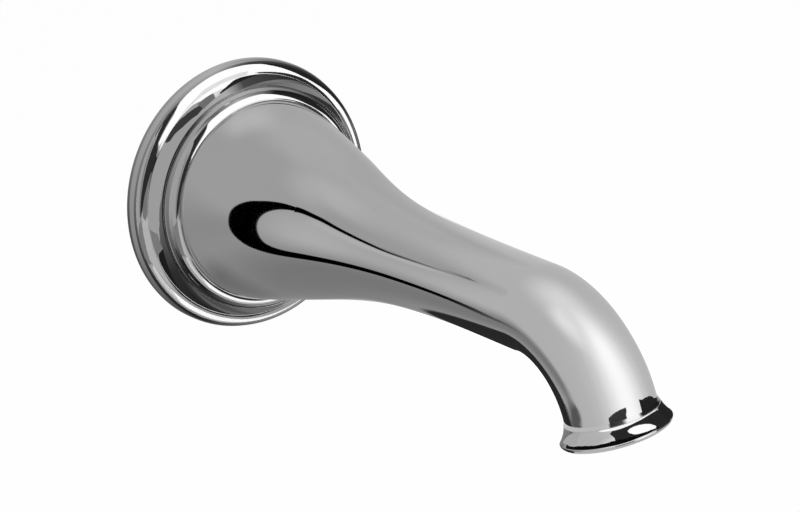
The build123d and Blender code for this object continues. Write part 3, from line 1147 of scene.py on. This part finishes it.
def cut_sheet(name, cards, place, facing, step):
    """Cards of (name, tone, outline) on one plane; where they overlap, the later card hides the earlier."""
    spots, faces = [], []
    for _, _, outline in cards:
        line = finely(outline, step)
        faces.append(range(len(spots), len(spots) + len(line)))
        spots += line
    spots, _, pieces, _, _, inside_of = delaunay_2d_cdt(spots, [], [list(f) for f in faces], 1, 1e-6)
    kept = [(piece, max(owners)) for piece, owners in zip(pieces, inside_of) if owners]
    mesh = bpy.data.meshes.new(name)
    mesh.from_pydata([place(*spot) for spot in spots], [], [piece for piece, _ in kept])
    for card_name, tone, _ in cards:
        mesh.materials.append(card_finish(name + "_" + card_name, level_of(tone)))
    mesh.polygons.foreach_set("material_index", [owner for _, owner in kept])
    return new_card(name, mesh, facing)


def ring_card(name, tones, inner, outer, facing):
    """Ring between two places, given for each angle, whose tone runs round it from (degrees, tone) stops."""
    mesh = bpy.data.meshes.new(name)
    turns = np.linspace(0, math.tau, RING_STEPS + 1)
    mesh.from_pydata([p for t in turns for p in (inner(t), outer(t))], [], [
        (2 * k, 2 * k + 1, 2 * k + 3, 2 * k + 2) for k in range(len(turns) - 1)
    ])
    uv = mesh.uv_layers.new(name="turn")
    for loop in mesh.loops:
        uv.data[loop.index].uv = (turns[loop.vertex_index // 2] / math.tau, 0.5)
    stops = [(turn / 360, level_of(tone) / TENT_WHITE) for turn, tone in tones]
    mesh.materials.append(card_finish(name, TENT_WHITE, None, stops))
    return new_card(name, mesh, facing, 1)


print("card helpers ready")

# %% [markdown]
# Behind the spout hangs what the flare and the arm reflect: a pale wall with a painted shadow of the
# flange round it and a grey shade below, white on the right, a dark edge near the floor, and the black
# strip that draws a loop along the arm. A second, smaller pair of ribbons crosses the arm and finishes
# the loop's upper line.

# %% Cards behind the arm
TO_ROOM = (0.0, -1.0, 0.0)
TO_WALL = (0.0, 1.0, 0.0)
LAYER = 0.0001
WALL_DEPTH = 0.012
ARM_DEPTH = 0.055
WALL_CARDS = (
    ("wall_base", 0.705, None, [(-125, 0, 125), (125, 0, 125)]),
    # Painted shadow: the two cards after the base make a darker patch round the flange, darker on its left
    # and paler up on its right, for the flange's shadow on the wall.
    ("wall_flange_shadow", 0.545, (0.2, 0.2, 0.2), [(-112, 22, 86), (95, 22, 86)]),
    ("wall_flange_shadow_right", 0.63, (0.3, 0.4, 0.35), [(-12, 64, 46), (75, 64, 46)]),
    ("top_light", 0.74, (0.35, 0.4, 0.5), [(-16, 33, 11), (0, 38, 13), (18, 40, 13)]),
    ("left_shade", 0.44, (0.2, 0.35, 0.48), [(-66, 4, 18), (-40, 2, 20), (-12, 0, 20)]),
    ("low_shade", 0.295, (0.06, 0.35, 0.46), [
        (35, -60, 69), (-60, -56, 75), (-130, -62, 66), (-230, -86, 62), (-330, -110, 56), (-600, -190, 75),
    ]),
    ("root_shade", 0.23, (0.35, 0.3, 0.5), [(-38, -10, 12), (-27, -22, 14), (-17, -31, 15), (6, -38, 13)]),
    ("low_white", 1.65, (0.12, 0.3, 0.25), [(18, -72, 34), (60, -75, 45), (130, -90, 60), (280, -140, 80)]),
    ("side_white", 1.3, (0.05, 0.5, 0.3), [(38, -12, 14), (80, -10, 14)]),
    ("grey_edge", 0.145, (0.05, 0.4, 0.35), [
        (-80, -122, 22), (-150, -126, 25), (-215, -129, 27), (-300, -141, 34), (-440, -166, 37),
        (-600, -205, 36), (-900, -270, 40),
    ]),
    ("dark_floor", 0.014, (0.1, 0.1, 0.12), [
        (85, -172, 28), (0, -165, 48), (-80, -172, 52), (-170, -165, 30),
    ]),
    ("dark_edge", 0.03, (0.03, 0.3, 0.1), [
        (56, -130, 14), (30, -112, 18), (6, -101.5, 21.5), (-40, -103, 21.5), (-80, -108.5, 19.5),
        (-120, -117, 17), (-160, -124, 15),
    ]),
    ("loop_strip", 0.0, (0.0, 0.375, 0.05), [
        (-79.3, 75, 3), (-76, 65, 4.6), (-74, 55, 5.5), (-72.3, 45, 6.6), (-70.1, 35, 8.2), (-67.8, 20, 10),
        (-67.3, 10, 10.2), (-67.4, 0, 9.9), (-69, -10, 8.4), (-71.6, -16, 7.3), (-76.2, -21.9, 6.5),
        (-82.7, -26.3, 6.3), (-89, -28.5, 6.4), (-94.4, -31.4, 6.4), (-98.6, -36, 6.4), (-101.6, -42, 6.4),
        (-105.7, -46.8, 6.5), (-114, -50, 6.5), (-130, -49.3, 5.6), (-150, -47, 4), (-175, -43, 3),
    ]),
)
ARM_CARDS = (
    ("arm_shield", 0.52, (0.38, 0.3, 0.4), [
        (-9, 13, 11), (-24, 26, 12), (-38, 32, 13), (-49, 43, 13), (-58, 58, 12),
    ]),
    ("inner_light", 0.7, (0.3, 0.3, 0.45), [
        (-20, 12, 3), (-26, 17.5, 4), (-36, 20.5, 5), (-44, 21, 5), (-50, 26, 5), (-55, 35, 5),
        (-60, 50, 5),
    ]),
    ("arm_strip", 0.0, (0.0, 0.475, 0.15), [
        (-12.3, 8.6, 0.75), (-17.5, 14.3, 1.1), (-23, 19.2, 1.45), (-28, 22.8, 1.65), (-34, 24.8, 1.75),
        (-39, 25.3, 1.75), (-44, 26, 1.75), (-47.7, 30.2, 1.7), (-51.1, 36.3, 1.65), (-54.5, 43.6, 1.5),
        (-59.4, 57, 1.2),
    ]),
)
for depth, ribbons in ((WALL_DEPTH, WALL_CARDS), (ARM_DEPTH, ARM_CARDS)):
    for number, (name, card_level, feather, points) in enumerate(ribbons):
        y = -depth - number * LAYER
        ribbon(name, card_level, feather, points, lambda x, z: (x * MM, y, z * MM), TO_ROOM)
print("ribbons:", len(WALL_CARDS), "behind the arm and", len(ARM_CARDS), "across it")

# %% [markdown]
# The flange's rolls and coves each see nearly half of the room, squeezed into thin bands. Its cards
# hang in front of it and face it. Their outlines are in degrees right and up of straight out. Close
# round the rim stand rings of cloth, one of them flat on the wall, which give the rim, the cove and the
# shoulder their soft shades. Two thin dark rings are painted shade: one flat on the wall at the rim's
# foot paints the rim's contact shadow, and one just over the crease paints the shade in the crease.

# %% Cards for the flange
FRONT_DEPTH = 0.14
LEFT_HALF = [(-87 * math.sin(a), 87 * math.cos(a)) for a in np.radians(range(0, 181, 30))]
FRONT_CARDS = (
    ("left_grey", 155, LEFT_HALF),
    ("left_edge", 92, [(-82, 22), (-87, 10), (-84, -24), (-77, -40), (-64, -35), (-73, -28), (-80, -12)]),
    ("left_mid", 128, [(-30, 40), (-26, 26), (-32, 8), (-36, -8), (-40, -6), (-39, 8), (-33, 26)]),
    ("left_low", 120, [(-72, -22), (-55, -12), (-34, -8), (-30, -30), (-52, -38), (-70, -40)]),
    ("upper_dark", 55, [
        (-38, 52), (-33, 57), (-28, 66), (-12, 80), (-3, 80), (-3, 70), (-16, 60), (-28, 46), (-34, 43.5),
        (-37.5, 47),
    ]),
    ("wedge", 42, [
        (-6, 58), (-17, 55), (-25, 48), (-22.5, 40), (-22.5, 30), (-37, -8), (-1, -1), (-3, 5), (-13, 18),
        (-6, 43),
    ]),
    ("low_black", 28, [
        (-59, -37), (-46, -45.5), (-26, -64), (-3, -79), (-3, -87), (-30, -82), (-57, -66), (-71, -50),
        (-77, -39),
    ]),
    ("low_grey", 150, [(20, -30), (45, -55), (39, -62), (18, -60), (0, -48), (0, -25)]),
    ("low_white", 250, [
        (-15, -40), (4.5, -50), (16, -57), (29, -60), (39, -59), (43.6, -66), (27, -71), (0, -66.5),
        (-19, -55),
    ]),
    ("low_pale", 200, [(-27, -30), (-15, -40), (-19, -55), (-27, -47), (-33, -40), (-35, -34)]),
    ("mid_light", 175, [(-30, -9), (-5, -4), (-2, -28), (-8, -38), (-26, -30), (-34, -30)]),
    ("mid_grey", 114, [(-26, -6), (-18, -3), (-2, -1), (-2, -14), (-14, -13), (-24, -10)]),
    ("low_dark", 40, [(0, -26), (10, -23), (20, -32), (27, -43), (18, -48), (5, -41), (-2, -36)]),
    ("top_grey", 108, [(-3, 66), (14, 69), (15, 85), (-3, 86)]),
    ("top_white", 255, [
        (4, 7), (-5, 9), (-11, 16.5), (-6, 30), (-8, 53), (-3, 63), (4, 67), (28, 71), (50, 60), (66, 40),
        (76, 10), (80, -13), (72, -24), (56, -22), (50, -5), (40, 7), (27, 6),
    ]),
    ("top_inner", 222, [(10, 6), (30, 6), (33, 22), (14, 25)]),
    ("right_black", 33, [
        (71, -26), (76, -13), (73, -5), (67, 3), (59, 7), (54.5, 12), (52, 25), (48, 40), (44, 52),
        (28, 69.5), (20, 75), (22, 81), (40, 75), (57, 66), (75, 44.5), (85, 15), (86, -15), (79, -30),
    ]),
    ("right_low", 118, [(46, -8), (56, -8), (57, -20), (44, -18)]),
    ("right_dark", 42, [(33, 10), (44, 10), (50, 8), (53, -1), (53, -8), (47, -14), (36, -12), (33, 0)]),
)
RINGS = (
    # Painted shadow: a dark ring flat on the wall round the rim, paler near the top, for the rim's contact
    # shadow.
    ("rim_contact_shadow_ring", (40, 0.05), (41, 0.05), [(0, 80), (90, 165), (170, 76), (300, 80)]),
    ("edge_ring", (41, 0), (41, 1.2), [(30, 90), (90, 170), (224, 76), (300, 100)]),
    ("rim_ring", (41, 1.2), (41, 3), [
        (0, 62), (50, 74), (92, 172), (178, 134), (234, 14), (254, 95), (300, 120), (345, 62),
    ]),
    ("knuckle_ring", (41, 3), (41, 4.4), [
        (0, 40), (76, 62), (94, 158), (195, 40), (230, 30), (255, 100), (310, 120), (345, 50),
    ]),
    ("wall_ring", (42, 0.5), (60, 0.5), [
        (5, 60), (20, 130), (52, 112), (72, 176), (92, 175), (112, 92), (140, 82), (165, 128), (200, 128),
        (222, 60), (330, 110),
    ]),
    ("outer_ring", (60, 0.5), (60, 3.2), [(0, 150), (62, 92), (72, 163), (94, 166), (206, 50), (345, 145)]),
    ("middle_ring", (60, 3.2), (60, 5.5), [
        (0, 155), (10, 40), (22, 32), (50, 120), (68, 105), (84, 172), (206, 55), (256, 44), (284, 120),
    ]),
    ("upper_ring", (60, 5.5), (60, 11.8), [
        (0, 95), (14, 34), (36, 34), (72, 72), (84, 172), (176, 98), (212, 45), (246, 33), (285, 150),
        (345, 95),
    ]),
    # Painted shade: a thin dark ring just over the crease, lighter near the top, for the shade in the crease.
    ("crease_shade_ring", (33.6, 8.78), (33.6, 9.35), [(0, 60), (90, 120), (125, 20), (345, 60)]),
    ("shoulder_ring", (33.5, 10.2), (33.5, 11.4), [
        (10, 58), (40, 55), (90, 172), (180, 100), (200, 36), (345, 60),
    ]),
    ("neck_ring", (32.3, 11.5), (32.3, 12.55), [
        (10, 80), (22, 30), (70, 28), (94, 170), (108, 95), (124, 158), (166, 155), (194, 35), (215, 26),
        (258, 118), (345, 90),
    ]),
)


def in_front(right_by, up_by):
    """Place on the sheet in front of the flange, from degrees right and up of straight out."""
    angle = math.radians(min(math.hypot(right_by, up_by), 87.5))
    turn = math.atan2(up_by, right_by)
    reach = FRONT_DEPTH * math.tan(angle)
    return (reach * math.cos(turn), -FRONT_DEPTH, reach * math.sin(turn))


def round_the_rim(reach, height):
    """Place at each angle round the flange, at a distance from its axis and from the wall in mm."""
    return lambda turn: (reach * MM * math.cos(turn), -height * MM, reach * MM * math.sin(turn))


front_sheet = cut_sheet("front_sheet", FRONT_CARDS, in_front, TO_WALL, 2.0)
for name, inner, outer, tones in RINGS:
    ring_card(name, tones, round_the_rim(*inner), round_the_rim(*outer), (-1.0, -1.0, 0.0))
print("flange cards:", len(FRONT_CARDS), "in front and", len(RINGS), "rings round the rim")

# %% [markdown]
# Low in the room stand two dark flags, which the nose shows as two patches above the lip, and a soft
# light over the bend. The flared lip itself points down and out, so its own small sheet lies across the
# outlet, above the crease. A narrow ring of cloth stands close round the cove, and one more dark card
# close on the lip's right.

# %% Flags for the nose and cards for the lip
FLAG_DISTANCE = 1.4
BEND_LIGHT = [(-115, 66, 24), (-70, 62, 28), (-35, 57, 26), (5, 54, 18)]
FLAGS = (
    ("front_flag", 52, [
        (-39.5, -11.5), (-38, -9.6), (-22, -5.8), (-10, -4.3), (3.5, -4), (3.5, -6.5), (-3, -10.5),
        (-3, -16), (-39.5, -16),
    ]),
    ("right_flag", 34, [(45, -7.4), (58, -9.5), (74, -13), (101, -20.7), (102, -27), (45, -20)]),
)
LIP_CARDS = (
    ("back_grey", 165, [
        (-29, -12), (-27.5, -30), (-20, -110), (-16, -240), (-140, -240), (-140, -60), (-60, -22),
    ]),
    ("line_white", 250, [
        (-42, 18), (-33, 19.5), (-20.5, 26.5), (4, 40), (33, 45), (80, 48), (200, 38), (200, 90), (-20, 70),
        (-60, 40), (-60, 22),
    ]),
    ("skirt_black", 38, [
        (-20.5, 25.5), (-9, 32.2), (6, 38.5), (33, 43), (80, 44), (200, 32), (200, -20), (80, -20), (37, 0),
        (26, 6), (24, 12), (18, 18.5), (8, 21), (0, 21), (-13, 17), (-15, 19.5), (-20.5, 21),
    ]),
    ("edge_black", 10, [
        (-24.3, -32), (-24.5, -15), (-24, -6), (-22.5, 2), (-20, 8), (-16, 13), (-11, 17), (-5, 20),
        (0, 21.3), (10, 21.5), (17, 19), (17, 20.5), (10, 22.8), (0, 23.2), (-6, 22), (-12, 19.8),
        (-16, 17), (-20.5, 11.5), (-24, 5), (-26, 0), (-27.5, -8), (-27.3, -18), (-26.5, -34),
    ]),
    ("skirt_white", 255, [
        (-6.5, 26.5), (-4, 28.8), (0, 30.3), (5, 30.3), (11, 28.2), (15, 25), (16.8, 21.3), (15, 20.8),
        (10, 22.5), (4, 23.4), (-2, 23.6), (-5.5, 24.6),
    ]),
)
COVE_TONES = (
    (0, 252), (3, 150), (5, 35), (45, 25), (60, 150), (90, 180), (310, 184), (321, 195), (323, 45), (338, 70),
    (341, 160), (344, 245),
)
LIP_SIDE = (("side_black", 34, [
    (-12, 3.8), (0, 3.6), (4, 3.45), (8, 3.0), (13, 2.7), (30, 2.4), (30, 9), (-12, 9),
]),)


def far_off(azimuth, elevation):
    """Place low in the room: azimuth 0 is straight out from the wall and 90 is to the right."""
    a, e = math.radians(azimuth), math.radians(elevation)
    way = Vector((math.sin(a) * math.cos(e), -math.cos(a) * math.cos(e), math.sin(e)))
    return MIDDLE + FLAG_DISTANCE * way


COVE_RING_RADIUS = 13.28
COVE_RING_START = 1.45
COVE_RING_END = 2.25
LIP_SHEET_DISTANCE = -4.0
LIP_SIDE_REACH = 17.0


def at_outlet(x, outward, distance):
    """Place near the outlet in metres: sideways, away from the wall and along the outlet's axis, in mm."""
    place = BEND_END + along(OUTLET_ANGLE) * distance - inward(OUTLET_ANGLE) * outward
    return (place + np.array([x, 0, 0])) * MM


def round_the_cove(distance):
    """Place at each angle from straight out, close round the cove, at a distance along the axis in mm."""
    reach = COVE_RING_RADIUS
    return lambda turn: at_outlet(reach * math.sin(turn), reach * math.cos(turn), distance)


def across_the_lip(x, outward):
    return at_outlet(x, outward, LIP_SHEET_DISTANCE)


def beside_the_lip(outward, distance):
    return at_outlet(LIP_SIDE_REACH, outward, distance)


flag_sheet = cut_sheet("flag_sheet", FLAGS, far_off, TO_WALL, 3.0)
ribbon("bend_light", 1.2, (0.35, 0.45, 0.5), BEND_LIGHT, far_off, (0.0, 0.0, -1.0))
lip_sheet = cut_sheet("lip_sheet", LIP_CARDS, across_the_lip, along(OUTLET_ANGLE), 1.0)
lip_side = cut_sheet("lip_side", LIP_SIDE, beside_the_lip, (-1.0, 0.0, 0.0), 2.0)
ring_card("cove_ring", COVE_TONES, round_the_cove(COVE_RING_START), round_the_cove(COVE_RING_END), TO_WALL)
print("flags:", len(FLAGS), "and cards at the lip:", len(LIP_CARDS) + len(LIP_SIDE))
